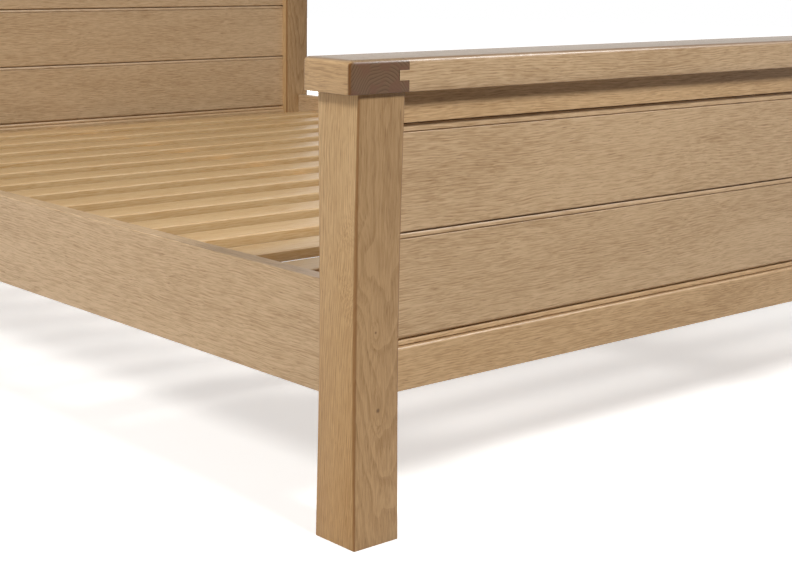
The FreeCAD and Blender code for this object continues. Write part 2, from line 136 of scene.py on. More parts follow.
print("light and floor")
studio = {
    "focus": (-0.45, -1.05, 0.4),
    "frontFrom": (-0.06, -1.0, 1.0),  # its shadow under the cap is as deep as the cap's overhang
    "frontDistance": 4.2,
    "frontSize": 1.1,
    "frontPower": 156,
    "leftFrom": (-1.0, 0.3, 0.8),
    "leftDistance": 4.2,
    "leftSize": 1.0,
    "leftPower": 80,
    "fillFrom": (-1.0, 0.3, 0.08),
    "fillDistance": 3.4,
    "fillSize": 2.2,
    "fillPower": 40,
    "backFrom": (0.58, 0.78, 0.23),  # low, so that it hardly reaches the tops
    "backDistance": 6.5,
    "backSize": 2.4,
    "backPower": 130,
    "glossFrom": (0.64, -0.42, 0.64),  # a strip overhead that shows only in the oil's gloss
    "glossDistance": 3.6,
    "glossSize": 1.2,
    "glossPower": 120,
    "ambient": 0.048,
    "ambientColour": "#ffcd98",
    "floorRadius": 14,
    "floorFacets": 96,
    "floorRough": 0.9,
    "floorColour": "#f4f2ee",
    "floorBounce": "#7d6c58",  # what the floor sends back up is held down, so that recesses stay deep
    "floorLift": 0.55,  # seen only by camera and gloss, so that the floor meets the backdrop
    "floorFade": (2.2, 5.5),  # from here outwards the lift grows until the floor is white
}


def addSoftLight(name, direction, distance, size, power):
    focus = Vector(studio["focus"])
    outward = Vector(direction).normalized()
    bpy.ops.object.light_add(type="AREA", location=focus + outward * distance)
    light = bpy.context.object
    light.name = name
    light.rotation_euler = outward.to_track_quat("Z", "Y").to_euler()
    light.data.shape = "DISK"
    light.data.size = size
    light.data.energy = power
    light.visible_glossy = name.startswith("gloss")
    light.visible_diffuse = not light.visible_glossy


for part in ("front", "left", "fill", "back", "gloss"):
    addSoftLight(part + "Light", studio[part + "From"], studio[part + "Distance"],
                 studio[part + "Size"], studio[part + "Power"])

world = bpy.data.worlds.new("paleStudio")
scene.world = world
world.use_nodes = True
skyTree = world.node_tree
skyTree.nodes.clear()


def seenRays(tree):
    # one for camera, gloss and transmission rays, and nought for the rays that light the object
    rays = addNode(tree, "LightPath")
    seen = addNode(tree, "Math", {"operation": "MAXIMUM"},
                   {0: rays.outputs["Is Camera Ray"], 1: rays.outputs["Is Glossy Ray"]})
    return addNode(tree, "Math", {"operation": "MAXIMUM"},
                   {0: seen.outputs[0], 1: rays.outputs["Is Transmission Ray"]})


seen = seenRays(skyTree)
strength = addNode(skyTree, "MapRange", {"To Min": studio["ambient"], "To Max": 1.0},
                   {"Value": seen.outputs[0]})
skyColour = mixColour(skyTree, seen.outputs[0], studio["ambientColour"], "#ffffff")
sky = addNode(skyTree, "Background", links={"Color": skyColour, "Strength": strength.outputs[0]})
addNode(skyTree, "OutputWorld", links={"Surface": sky.outputs[0]})

bpy.ops.mesh.primitive_circle_add(vertices=studio["floorFacets"], radius=studio["floorRadius"],
                                  fill_type="NGON", location=(0, 0, 0))
floor = bpy.context.object
floor.name = "studioFloor"
floor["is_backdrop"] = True
# matt white floor paint: no gloss and no grain to be seen
floorMaterial, floorTree, floorShader = newMaterial("paintedStudioFloor")
floorSeen = seenRays(floorTree).outputs[0]
floorTone = mixColour(floorTree, floorSeen, studio["floorBounce"], studio["floorColour"])
floorTree.links.new(floorTone, floorShader.inputs["Base Color"])
floorShader.inputs["Roughness"].default_value = studio["floorRough"]
place = addNode(floorTree, "TexCoord")
away = addNode(floorTree, "VectorMath", {"operation": "LENGTH"}, {0: place.outputs["Object"]})
fadeFrom, fadeTo = studio["floorFade"]
fade = addNode(floorTree, "MapRange", {"interpolation_type": "SMOOTHSTEP", "From Min": fadeFrom,
               "From Max": fadeTo, "To Min": studio["floorLift"], "To Max": 1.0},
               {"Value": away.outputs["Value"]})
lift = addNode(floorTree, "Math", {"operation": "MULTIPLY"}, {0: floorSeen, 1: fade.outputs[0]})
floorTree.links.new(lift.outputs[0], floorShader.inputs["Emission Strength"])
floorShader.inputs["Emission Color"].default_value = (1, 1, 1, 1)
floor.data.materials.append(floorMaterial)

print("wood")
# Oak sawn through a log: the rings are round the pith, which lies along the piece a little askew,
# so a face shows arches or straight lines, and a cut end shows arcs, as in the real wood.
oakTones = {
    "late": "#ccb08c",  # hard outer part of a ring
    "early": "#9d7d57",  # open-pored inner part
    "pore": "#6d4f33",
    "endLate": "#75583c",  # cut ends drink more oil and turn brown
    "endEarly": "#4c3722",
    "endPatch": "#6d4c38",  # redder patches where the rings hardly show
    "arris": "#7c5329",  # painted shade on rounded edges, darker than the faces on either side
    "knot": "#5d4029",
}
postTones = {**oakTones, "late": "#ceae85", "early": "#9f7c51"}  # posts and rails are a little yellower
# the cap ends take a deeper painted shade on their rounded edges
capEndTones = {**oakTones, "late": "#c6a57b", "endLate": "#755a42", "endEarly": "#573f29",
               "arris": "#643c0d"}
# the edge colour of pine is a painted shade as well, which no pine piece uses
pineTones = {"late": "#d9ba8b", "early": "#c49a62", "pore": "#b98d56", "endLate": "#c8a471",
             "endEarly": "#b08a58", "endPatch": "#bd9663", "arris": "#cda974", "knot": "#8a5a34"}
basicLook = {  # what a kind of piece has where its own look says nothing
    "tones": oakTones,
    "ring": 3.4,  # mm from one ring to the next
    "askew": (0.5, 0.8),  # degrees between the pith and the piece
    "wave": 1.0,
    "contrast": 0.35,  # between the two parts of a ring
    "strokes": 1.0,
    "knots": (),
    "tints": (),  # painted light and shade: direction of a face, its tint near the floor, and its tint higher up
    "arris": 0.0,  # how much painted shade the rounded edges take
    "worked": (1, 1, 0),  # directions of the faces between which edges take the painted shade
    "gloss": 0.35,
    "relief": 0.2,
}
grainMake = {  # stretches are in turns a metre: along the grain, across and deep
    "wander": (2.4, 9, 9),
    "wanderReach": 24 * millimetre,
    "ripple": (17, 40, 40),
    "rippleReach": 4.2 * millimetre,
    "ringStops": [(0.0, 0.7), (0.12, 1.0), (0.45, 0.35), (0.9, 0.0)],
    "pores": (56, 1000, 1000),
    "poreFrom": 0.58,
    "poreTo": 0.74,
    "poreDark": 0.6,
    "poreInLate": 0.35,
    "poreRough": 0.7,
    "poreDeep": 0.5 * millimetre,
    "layers": (((32, 680, 680), 0.42), ((9, 190, 190), 0.06), ((2.6, 17, 17), 0.16)),
    "layerBase": 0.18,
    # heights between which the painted face light goes from its low tint to its high one
    "tintHeights": (60 * millimetre, 500 * millimetre),
    "patchFrom": 0.47,
    "patchTo": 0.56,
    "patchShare": 0.8,
    "knotDark": 0.75,
    "seedShift": 2300,  # mm along the log from one piece to the next, so that no two match
    "pithShift": 14,  # mm that the pith moves at most from one piece to the next
    "pithTurn": 2.4,
    "tintTurn": (0.5, 0.85),  # how far a face is turned to a side, from none of its painted light or shade to all
    # how far an edge is turned between two faces, from none of the painted edge shade to all
    "arrisTurn": (1.1, 1.36),
    "endTurn": (0.6, 0.9),
    "specular": 0.26,
}
waveTurn = 0.31416  # scale of a wave texture whose bands are a metre apart


def oiledWood(name, look):
    # Sawn and planed solid wood under hard wax oil: satin, fine dark pores in lines along the grain.
    look = {**basicLook, **look}
    tones = look["tones"]
    material, tree, shader = newMaterial(name)
    grainTurn = {"x": (0, 0, 0), "y": (0, 0, -90), "z": (0, 90, 0)}[look["grain"]]
    along = {"x": (1, 0, 0), "y": (0, 1, 0), "z": (0, 0, 1)}[look["grain"]]
    lay = Euler([math.radians(a) for a in grainTurn]).to_matrix()
    askew = Euler([math.radians(a) for a in (0, *look["askew"])]).to_matrix()
    turned = askew @ lay
    pith = Vector((look["seed"] * grainMake["seedShift"], *look["pith"])) * millimetre
    shift = pith - turned @ Vector(look["centre"])
    place = addNode(tree, "TexCoord").outputs["Object"]
    grain = addNode(tree, "Mapping", {"Location": shift, "Rotation": turned.to_euler()},
                    {"Vector": place}).outputs[0]

    # slow wander of the rings, about 8 mm over 400 mm, and a ripple every 60 mm
    wander = addNode(tree, "Mapping", {"Scale": grainMake["wander"]}, {"Vector": grain})
    wander = addNode(tree, "TexNoise", {"Scale": 1, "Detail": 1.5}, {"Vector": wander.outputs[0]})
    ripple = addNode(tree, "Mapping", {"Scale": grainMake["ripple"]}, {"Vector": grain})
    ripple = addNode(tree, "TexNoise", {"Scale": 1, "Detail": 1}, {"Vector": ripple.outputs[0]})
    slow = grainMake["wanderReach"] * look["wave"]
    quick = grainMake["rippleReach"] * look["wave"]
    bent = addNode(tree, "VectorMath", {"operation": "MULTIPLY_ADD", 1: (0, slow, slow),
                   2: (0, -slow / 2, -slow / 2)}, {0: wander.outputs["Color"]})
    bent = addNode(tree, "VectorMath", {"operation": "MULTIPLY_ADD", 1: (0, quick, quick)},
                   {0: ripple.outputs["Color"], 2: bent.outputs[0]})
    bent = addNode(tree, "VectorMath", {"operation": "ADD"}, {0: grain, 1: bent.outputs[0]}).outputs[0]

    # a knot pushes the rings aside for a hand's breadth, and is dark itself
    knotDark = None
    for spot, reach, push, size in look["knots"]:
        apart = addNode(tree, "Mapping", {"Location": -Vector(spot)}, {"Vector": place})
        wide = addNode(tree, "Mapping", {"Scale": tuple(1 / r for r in reach)},
                       {"Vector": apart.outputs[0]})
        wide = addNode(tree, "VectorMath", {"operation": "LENGTH"}, {0: wide.outputs[0]})
        bulge = addNode(tree, "MapRange", {"interpolation_type": "SMOOTHERSTEP", "From Min": 1.0,
                        "From Max": 0.0, "To Max": push * millimetre}, {"Value": wide.outputs["Value"]})
        bulge = addNode(tree, "VectorMath", {"operation": "MULTIPLY", 1: (0, 1, 1)},
                        {0: bulge.outputs[0]})
        bent = addNode(tree, "VectorMath", {"operation": "ADD"},
                       {0: bent, 1: bulge.outputs[0]}).outputs[0]
        if size:
            near = addNode(tree, "VectorMath", {"operation": "LENGTH"}, {0: apart.outputs[0]})
            dark = addNode(tree, "MapRange", {"interpolation_type": "SMOOTHSTEP",
                           "From Min": size * millimetre, "From Max": size * 0.2 * millimetre,
                           "To Max": grainMake["knotDark"]},
                           {"Value": near.outputs["Value"]}).outputs[0]
            if knotDark:
                dark = addNode(tree, "Math", {"operation": "MAXIMUM"},
                               {0: knotDark, 1: dark}).outputs[0]
            knotDark = dark

    rings = addNode(tree, "TexWave", {"wave_type": "RINGS", "rings_direction": "X", "wave_profile": "SAW",
                    "Scale": waveTurn / (look["ring"] * millimetre)}, {"Vector": bent})
    early = addNode(tree, "ValToRGB", links={"Fac": rings.outputs["Fac"]})
    setRamp(early.color_ramp, grainMake["ringStops"])
    early = early.outputs["Color"]

    # lines of pores 1 mm wide and 18 mm long, coarser than the real 0.3 mm, so that they show
    pores = addNode(tree, "Mapping", {"Scale": grainMake["pores"]}, {"Vector": bent})
    pores = addNode(tree, "TexNoise", {"Scale": 1, "Detail": 1.5, "Roughness": 0.6},
                    {"Vector": pores.outputs[0]})
    dash = addNode(tree, "MapRange", {"From Min": grainMake["poreFrom"],
                   "From Max": grainMake["poreTo"], "To Max": grainMake["poreDark"]},
                   {"Value": pores.outputs["Fac"]})
    weight = addNode(tree, "MapRange", {"To Min": grainMake["poreInLate"], "To Max": 1.0},
                     {"Value": early})
    dash = addNode(tree, "Math", {"operation": "MULTIPLY"}, {0: dash.outputs[0], 1: weight.outputs[0]})

    # strokes 1.5 mm apart and 3 cm long, streaks 5 mm apart, and cloudy tone over a hand's width
    amount = addNode(tree, "Math", {"operation": "MULTIPLY_ADD", 1: look["contrast"],
                     2: grainMake["layerBase"]}, {0: early})
    for stretch, strength in grainMake["layers"]:
        layer = addNode(tree, "Mapping", {"Scale": stretch}, {"Vector": bent})
        layer = addNode(tree, "TexNoise", {"Scale": 1, "Detail": 2, "Roughness": 0.55},
                        {"Vector": layer.outputs[0]})
        swing = strength * look["strokes"]
        layer = addNode(tree, "MapRange", {"From Min": 0.3, "From Max": 0.7, "To Min": -swing,
                        "To Max": swing, "clamp": False}, {"Value": layer.outputs["Fac"]})
        amount = addNode(tree, "Math", {"operation": "ADD"},
                         {0: amount.outputs[0], 1: layer.outputs[0]})
    amount = addNode(tree, "Clamp", links={"Value": amount.outputs[0]}).outputs[0]

    body = mixColour(tree, amount, tones["late"], tones["early"])
    body = mixColour(tree, dash.outputs[0], body, tones["pore"])
    facing = addNode(tree, "NewGeometry").outputs["Normal"]
    # painted light and shade by the way a face is turned and by height: a post's front and back darken
    # upwards, its sides darken near the floor, and a cap's top is darker and greyer as a painted shade
    # and reflection
    height = addNode(tree, "SeparateXYZ", links={"Vector": place}).outputs["Z"]
    lowest, highest = grainMake["tintHeights"]
    tintFrom, tintTo = grainMake["tintTurn"]
    height = addNode(tree, "MapRange", {"From Min": lowest, "From Max": highest},
                     {"Value": height}).outputs[0]
    for side, nearFloor, higher in look["tints"]:
        turnedTo = addNode(tree, "VectorMath", {"operation": "DOT_PRODUCT", 1: side}, {0: facing})
        turnedTo = addNode(tree, "Math", {"operation": "ABSOLUTE"}, {0: turnedTo.outputs["Value"]})
        turnedTo = addNode(tree, "MapRange", {"From Min": tintFrom, "From Max": tintTo},
                           {"Value": turnedTo.outputs[0]})
        tint = mixColour(tree, height, nearFloor, higher)
        body = addNode(tree, "Mix", {"data_type": "RGBA", "blend_type": "MULTIPLY"},
                       {0: turnedTo.outputs[0], 6: body, 7: tint}).outputs[2]
    if knotDark:
        body = mixColour(tree, knotDark, body, tones["knot"])
    # painted shade: edges turned half-way between the chosen faces are darkened
    if look["arris"]:
        worked = addNode(tree, "VectorMath", {"operation": "ABSOLUTE"}, {0: facing})
        worked = addNode(tree, "VectorMath", {"operation": "DOT_PRODUCT", 1: look["worked"]},
                         {0: worked.outputs[0]})
        arrisFrom, arrisTo = grainMake["arrisTurn"]
        worked = addNode(tree, "MapRange", {"interpolation_type": "SMOOTHSTEP", "From Min": arrisFrom,
                         "From Max": arrisTo, "To Max": look["arris"]},
                         {"Value": worked.outputs["Value"]})
        body = mixColour(tree, worked.outputs[0], body, tones["arris"])

    ends = mixColour(tree, early, tones["endLate"], tones["endEarly"])
    patch = addNode(tree, "MapRange", {"interpolation_type": "SMOOTHSTEP",
                    "From Min": grainMake["patchFrom"], "From Max": grainMake["patchTo"],
                    "To Max": grainMake["patchShare"]}, {"Value": ripple.outputs["Fac"]})
    ends = mixColour(tree, patch.outputs[0], ends, tones["endPatch"])
    cut = addNode(tree, "VectorMath", {"operation": "DOT_PRODUCT", 1: along}, {0: facing})
    cut = addNode(tree, "Math", {"operation": "ABSOLUTE"}, {0: cut.outputs["Value"]})
    endFrom, endTo = grainMake["endTurn"]
    cut = addNode(tree, "MapRange", {"interpolation_type": "SMOOTHSTEP", "From Min": endFrom,
                  "From Max": endTo}, {"Value": cut.outputs[0]})
    tree.links.new(mixColour(tree, cut.outputs[0], body, ends), shader.inputs["Base Color"])
    shader.inputs["Specular IOR Level"].default_value = grainMake["specular"]
    rough = addNode(tree, "MapRange", {"To Min": look["gloss"], "To Max": grainMake["poreRough"]},
                    {"Value": dash.outputs[0]})
    tree.links.new(rough.outputs[0], shader.inputs["Roughness"])
    bump = addNode(tree, "Bump", {"Strength": look["relief"], "Distance": grainMake["poreDeep"],
                   "invert": True}, {"Height": dash.outputs[0]})
    tree.links.new(bump.outputs[0], shader.inputs["Normal"])
    return material


pieceLooks = {  # pith is the middle of the piece from the pith, in mm across and deep
    # the edge amounts in these looks are painted shade, and the face tints are painted light and shade
    "post": {"grain": "z", "pith": (-75, 10), "askew": (0.8, 1.6), "arris": 0.75, "tones": postTones,
             "strokes": 0.75,
             "tints": (((0, 1, 0), "#f3eee7", "#dbd5cb"), ((1, 0, 0), "#efe3cc", "#fffffa"))},
    "rail": {"grain": "x", "pith": (60, 90), "tones": postTones, "contrast": 0.24},
    "board": {"grain": "x", "pith": (90, 150), "contrast": 0.24},
    # the top tint of the cap board and cap ends is a painted shade and reflection, darker and greyer
    "cap_board": {"grain": "x", "pith": (30, 120), "arris": 0.35, "worked": (0, 1, 1), "gloss": 0.31,
                  "relief": 0.06, "tints": (((0, 0, 1), "#b4b2b1", "#b4b2b1"),)},
    "cap_end": {"grain": "y", "pith": (0, 52), "arris": 0.95, "ring": 4.2, "wave": 2.3, "gloss": 0.31,
                "relief": 0.06, "tints": (((0, 0, 1), "#b4b2b1", "#b4b2b1"),), "tones": capEndTones},
    "side_rail": {"grain": "y", "pith": (70, 90), "contrast": 0.24},
    "slat": {"grain": "x", "pith": (10, 60), "tones": pineTones, "ring": 4},
    "bearer": {"grain": "y", "pith": (10, 60), "tones": pineTones, "ring": 4},
    "leg": {"grain": "z", "pith": (10, 60), "tones": pineTones, "ring": 4},
}
ownLooks = {  # what single pieces have of their own, by node
    "foot_cap_end_left": {"pith": (-4, 46)},
    "foot_post_left": {"pith": (-75, 6), "knots": (
        # place, reach across, deep and along, push in mm, dark heart in mm
        ((-0.806, -1.085, 0.372), (0.055, 0.05, 0.1), 20, 0),
        ((-0.758, -1.085, 0.284), (0.012, 0.03, 0.03), 4, 2.6),
        ((-0.753, -1.085, 0.181), (0.016, 0.03, 0.05), 5, 4.4),
    )},
}


def woodFor(nodeName, kind):
    low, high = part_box(nodeName)
    seed = 1 + sorted(nodeObjects).index(nodeName)
    look = {**pieceLooks[kind], "centre": (low + high) / 2, "seed": seed, **ownLooks.get(nodeName, {})}
    if nodeName not in ownLooks:
        shift = grainMake["pithShift"] * math.sin(grainMake["pithTurn"] * seed)
        look["pith"] = (look["pith"][0] + shift, look["pith"][1] - shift)
    return oiledWood(nodeName + ("Pine" if look.get("tones") is pineTones else "Oak"), look)


print("modelling tools")
overshoot = millimetre  # how far a cutter stands out of what it cuts
hair = 0.01 * millimetre  # what lies this close to a plane counts as in it


def allAt(corners, height):
    return all(abs(corner.z - height) < hair for corner in corners)


def isLevel(corners):
    return allAt(corners, corners[0].z)


def dress(piece, material):
    piece.data.materials.clear()
    piece.data.materials.append(material)


def selectOnly(piece):
    bpy.ops.object.select_all(action="DESELECT")
    piece.select_set(True)
    bpy.context.view_layer.objects.active = piece


def setDown(piece, location, rotation):
    selectOnly(piece)
    piece.location = location
    piece.rotation_euler = rotation
    bpy.ops.object.transform_apply(location=True, rotation=True, scale=True)


def startBlock(name, low, high):
    bpy.ops.object.select_all(action="DESELECT")
    bpy.ops.mesh.primitive_cube_add(size=1, location=(Vector(low) + Vector(high)) / 2)
    piece = bpy.context.object
    piece.name = piece.data.name = name
    piece.scale = Vector(high) - Vector(low)
    bpy.ops.object.transform_apply(location=True, rotation=True, scale=True)
    return piece


def pick(piece, kind, wanted):
    # selects what has all its corners where wanted says, and stays in edit mode
    if bpy.context.mode != "OBJECT":
        bpy.ops.object.mode_set(mode="OBJECT")
    selectOnly(piece)
    bpy.ops.object.mode_set(mode="EDIT")
    bpy.ops.mesh.select_mode(type=kind)
    bpy.ops.mesh.select_all(action="DESELECT")
    bpy.ops.object.mode_set(mode="OBJECT")
    mesh = piece.data
    if kind == "VERT":
        for vertex in mesh.vertices:
            vertex.select = wanted([vertex.co])
    else:
        for part in mesh.edges if kind == "EDGE" else mesh.polygons:
            part.select = wanted([mesh.vertices[index].co for index in part.vertices])
    bpy.ops.object.mode_set(mode="EDIT")


def roundOver(piece, wanted, radius, segments):
    pick(piece, "EDGE", wanted)
    bpy.ops.mesh.bevel(offset=radius, segments=segments, profile=0.5, affect="EDGES",
                       clamp_overlap=False)
    bpy.ops.object.mode_set(mode="OBJECT")


def applyModifier(piece, kind, **settings):
    modifier = piece.modifiers.new(kind.title(), kind)
    for name, value in settings.items():
        setattr(modifier, name, value)
    bpy.context.view_layer.objects.active = piece
    bpy.ops.object.modifier_apply(modifier=modifier.name)


def carve(piece, cutter, operation="DIFFERENCE"):
    applyModifier(piece, "BOOLEAN", object=cutter, operation=operation, solver="EXACT")
    bpy.data.objects.remove(cutter)


def softShade(piece, degrees=32):
    selectOnly(piece)
    bpy.ops.object.shade_smooth_by_angle(angle=math.radians(degrees))


def finishPiece(piece, material, nodeName, body="frame"):
    softShade(piece)
    dress(piece, material)
    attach(piece, body)
    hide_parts(nodeName)


print("posts")
postMake = {
    "waist": 3.4 * millimetre,  # hollow of the front and the back, half-way up
    "arrisEnd": 1.0 * millimetre,
    "arrisWaist": 5.5 * millimetre,  # the rounded edges are widest half-way up, and so is the painted shade on them
    "footEase": 1.5 * millimetre,
    "levels": 26,
    "stubHeight": 22 * millimetre,
    "stub": (36 * millimetre, 44 * millimetre),
    "tenonLength": 31 * millimetre,
    "tenonHalf": 7.15 * millimetre,
    "shoulder": 9.85 * millimetre,
    "boardHousing": 10 * millimetre,
    "boardGroove": 9 * millimetre,  # how far the groove in the top rail rises
    "railHousing": 6 * millimetre,
    "railMiddle": 20 * millimetre,  # face of a rail to the middle of its tenon
    "railTongue": 8 * millimetre,  # tongue on top of a bottom rail, above its tenon's shoulder
    "holePlay": 0.3 * millimetre,
    "bevelSteps": 4,
}


def makePost(end, side):
    nodeName = f"{end}_post_{side}"
    low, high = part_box(nodeName)
    top = high.z - postMake["stubHeight"]
    post = startBlock(nodeName + "_wood", low, (high.x, high.y, top))

    pick(post, "FACE", lambda c: True)
    levels = [top * step / postMake["levels"] for step in range(1, postMake["levels"])]
    for level in levels:
        bpy.ops.mesh.select_all(action="SELECT")
        bpy.ops.mesh.bisect(plane_co=(0, 0, level), plane_no=(0, 0, 1))
    for level in levels:
        share = level / top
        hollow = 4 * postMake["waist"] * share * (1 - share)
        for face, sign in ((low.y, 1), (high.y, -1)):
            pick(post, "VERT", lambda c: allAt(c, level) and abs(c[0].y - face) < hair)
            bpy.ops.transform.translate(value=(0, sign * hollow, 0))
    bpy.ops.object.mode_set(mode="OBJECT")

    weights = post.data.attributes.new("bevel_weight_edge", "FLOAT", "EDGE")
    widest = postMake["arrisWaist"]
    for edge in post.data.edges:
        a, b = (post.data.vertices[index].co for index in edge.vertices)
        if abs(a.z - b.z) > 10 * hair:
            share = (a.z + b.z) / 2 / top
            width = postMake["arrisEnd"] + (widest - postMake["arrisEnd"]) * 4 * share * (1 - share)
            weights.data[edge.index].value = width / widest
        elif max(a.z, b.z) < hair:
            weights.data[edge.index].value = postMake["footEase"] / widest
    applyModifier(post, "BEVEL", limit_method="WEIGHT", width=widest, segments=postMake["bevelSteps"],
                  use_clamp_overlap=False)

    inner = low.x if side == "right" else high.x
    inward = 1 if side == "right" else -1  # from the face with the mortises into the post
    for railName in (f"{end}_bottom_rail", f"{end}_top_rail"):
        railLow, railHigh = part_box(railName)
        middle = railLow.y + postMake["railMiddle"]
        railTop = railHigh.z - (postMake["railTongue"] if "bottom" in railName else 0)
        across = sorted((inner - inward * overshoot, inner + inward * postMake["tenonLength"]))
        half = postMake["tenonHalf"]
        carve(post, startBlock("mortise", (across[0], middle - half, railLow.z + postMake["shoulder"]),
                               (across[1], middle + half, railTop - postMake["shoulder"])))
    boardLow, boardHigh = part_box(f"{end}_panel_board_1")
    across = sorted((inner - inward * overshoot, inner + inward * postMake["boardHousing"]))
    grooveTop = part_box(f"{end}_top_rail")[0].z + postMake["boardGroove"]
    carve(post, startBlock("groove", (across[0], boardLow.y, boardLow.z),
                           (across[1], boardHigh.y, grooveTop)))
    railLow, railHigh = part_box(f"side_rail_{side}")
    face = high.y if end == "foot" else low.y
    bedward = 1 if end == "foot" else -1
    deep = sorted((face + bedward * overshoot, face - bedward * postMake["railHousing"]))
    play = postMake["holePlay"]
    carve(post, startBlock("housing", (railLow.x - play, deep[0], railLow.z - play),
                           (railHigh.x + play, deep[1], railHigh.z + play)))

    stub = postMake["stub"]
    middle = (low + high) / 2
    tenon = startBlock("stub", (middle.x - stub[0] / 2, middle.y - stub[1] / 2, top - overshoot),
                       (middle.x + stub[0] / 2, middle.y + stub[1] / 2, high.z))
    carve(post, tenon, "UNION")
    finishPiece(post, woodFor(nodeName, "post"), nodeName)


for end in ("foot", "head"):
    for side in ("left", "right"):
        makePost(end, side)


print("caps")
capMake = {
    "topRound": 7 * millimetre,
    "topSteps": 8,
    "cornerRound": 6.5 * millimetre,
    "cornerSteps": 6,
    "bottomEase": 1.2 * millimetre,
    "easeSteps": 2,
    "tongueThick": 12.5 * millimetre,
    "tongueLong": 16 * millimetre,
    "grooveDeep": 17 * millimetre,
    "gap": 0.15 * millimetre,
    "splineHalf": 4.15 * millimetre,
    "splineDeep": 12.15 * millimetre,
}


def makeCapBoard(end):
    nodeName = f"{end}_cap_board"
    low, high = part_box(nodeName)
    seam = high.x - capMake["tongueLong"]
    board = startBlock(nodeName + "_wood", (-seam, low.y, low.z), (seam, high.y, high.z))
    roundOver(board, lambda c: allAt(c, high.z) and abs(c[0].x - c[1].x) > seam,
              capMake["topRound"], capMake["topSteps"])
    roundOver(board, lambda c: allAt(c, low.z) and abs(c[0].x - c[1].x) > seam,
              capMake["bottomEase"], capMake["easeSteps"])
    middle = (low.z + high.z) / 2
    half = capMake["tongueThick"] / 2
    tongue = startBlock("tongue", (low.x, low.y, middle - half), (high.x, high.y, middle + half))
    carve(board, tongue, "UNION")
    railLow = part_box(f"{end}_top_rail")[0]
    y = railLow.y + postMake["railMiddle"]
    groove = startBlock("groove", (-seam, y - capMake["splineHalf"], low.z - overshoot),
                        (seam, y + capMake["splineHalf"], low.z + capMake["splineDeep"]))
    carve(board, groove)
    finishPiece(board, woodFor(nodeName, "cap_board"), nodeName)


def makeCapEnd(end, side):
    nodeName = f"{end}_cap_end_{side}"
    low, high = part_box(nodeName)
    outer = low.x if side == "left" else high.x
    seam = high.x if side == "left" else low.x
    inward = 1 if side == "left" else -1
    block = startBlock(nodeName + "_wood", low, high)
    roundOver(block, lambda c: all(abs(p.x - outer) < hair for p in c) and not isLevel(c),
              capMake["cornerRound"], capMake["cornerSteps"])
    roundOver(block, lambda c: allAt(c, high.z) and any(abs(p.x - seam) > hair for p in c),
              capMake["topRound"], capMake["topSteps"])
    roundOver(block, lambda c: allAt(c, low.z) and any(abs(p.x - seam) > hair for p in c),
              capMake["bottomEase"], capMake["easeSteps"])
    middle = (low.z + high.z) / 2
    half = capMake["tongueThick"] / 2 + capMake["gap"]
    across = sorted((seam + inward * overshoot, seam - inward * capMake["grooveDeep"]))
    carve(block, startBlock("groove", (across[0], low.y - overshoot, middle - half),
                            (across[1], high.y + overshoot, middle + half)))
    postLow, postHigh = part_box(f"{end}_post_{side}")
    centre = (postLow + postHigh) / 2
    stub = postMake["stub"]
    gap = capMake["gap"]
    wide, deep = stub[0] / 2 + gap, stub[1] / 2 + gap
    carve(block, startBlock("mortise", (centre.x - wide, centre.y - deep, low.z - overshoot),
                            (centre.x + wide, centre.y + deep, postHigh.z + overshoot)))
    finishPiece(block, woodFor(nodeName, "cap_end"), nodeName)


for end in ("foot", "head"):
    makeCapBoard(end)
    for side in ("left", "right"):
        makeCapEnd(end, side)


print("slats and bearers")
barMake = {
    "slats": 14,
    "slatRound": 2.5 * millimetre,
    "bearerRound": 1.5 * millimetre,
    "roundSteps": 3,
    "longShare": 0.9,  # an edge that is this much of the length runs lengthwise
}


def makeBar(nodeName, radius, kind):
    low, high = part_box(nodeName)
    size = high - low
    length = max(size)
    bar = startBlock(nodeName + "_wood", low, high)
    roundOver(bar, lambda c: (c[0] - c[1]).length > barMake["longShare"] * length,
              radius, barMake["roundSteps"])
    finishPiece(bar, woodFor(nodeName, kind), nodeName)


for number in range(1, barMake["slats"] + 1):
    makeBar(f"slat_{number:02d}", barMake["slatRound"], "slat")
for side in ("left", "right"):
    makeBar(f"slat_cleat_{side}", barMake["bearerRound"], "bearer")


print("steel, nylon and plywood")
# spangle, grain and rub are in turns a metre, and a veneer is in mm
metalLook = {"tone": "#c9ccce", "dull": "#aeb2b4", "roughLow": 0.24, "roughHigh": 0.42, "spangle": 160}
nylonLook = {"tone": "#1b1c1d", "worn": "#2b2c2e", "rough": 0.52, "grain": 1400, "rub": 120}
plyLook = {"pale": "#d9bd93", "glue": "#a67f52", "veneer": 1.4, "rough": 0.62}


def zincPlatedSteel():
    # Mild steel, electroplated with zinc and passivated: bright, faintly clouded, a little blue.
    material, tree, shader = newMaterial("zincPlatedSteel")
    place = addNode(tree, "TexCoord").outputs["Object"]
    clouds = addNode(tree, "TexNoise", {"Scale": metalLook["spangle"], "Detail": 2}, {"Vector": place})
    tree.links.new(mixColour(tree, clouds.outputs["Fac"], metalLook["tone"], metalLook["dull"]),
                   shader.inputs["Base Color"])
    rough = addNode(tree, "MapRange", {"From Min": 0.3, "From Max": 0.7,
                    "To Min": metalLook["roughLow"], "To Max": metalLook["roughHigh"]},
                    {"Value": clouds.outputs["Fac"]})
    tree.links.new(rough.outputs[0], shader.inputs["Roughness"])
    shader.inputs["Metallic"].default_value = 1.0
    return material


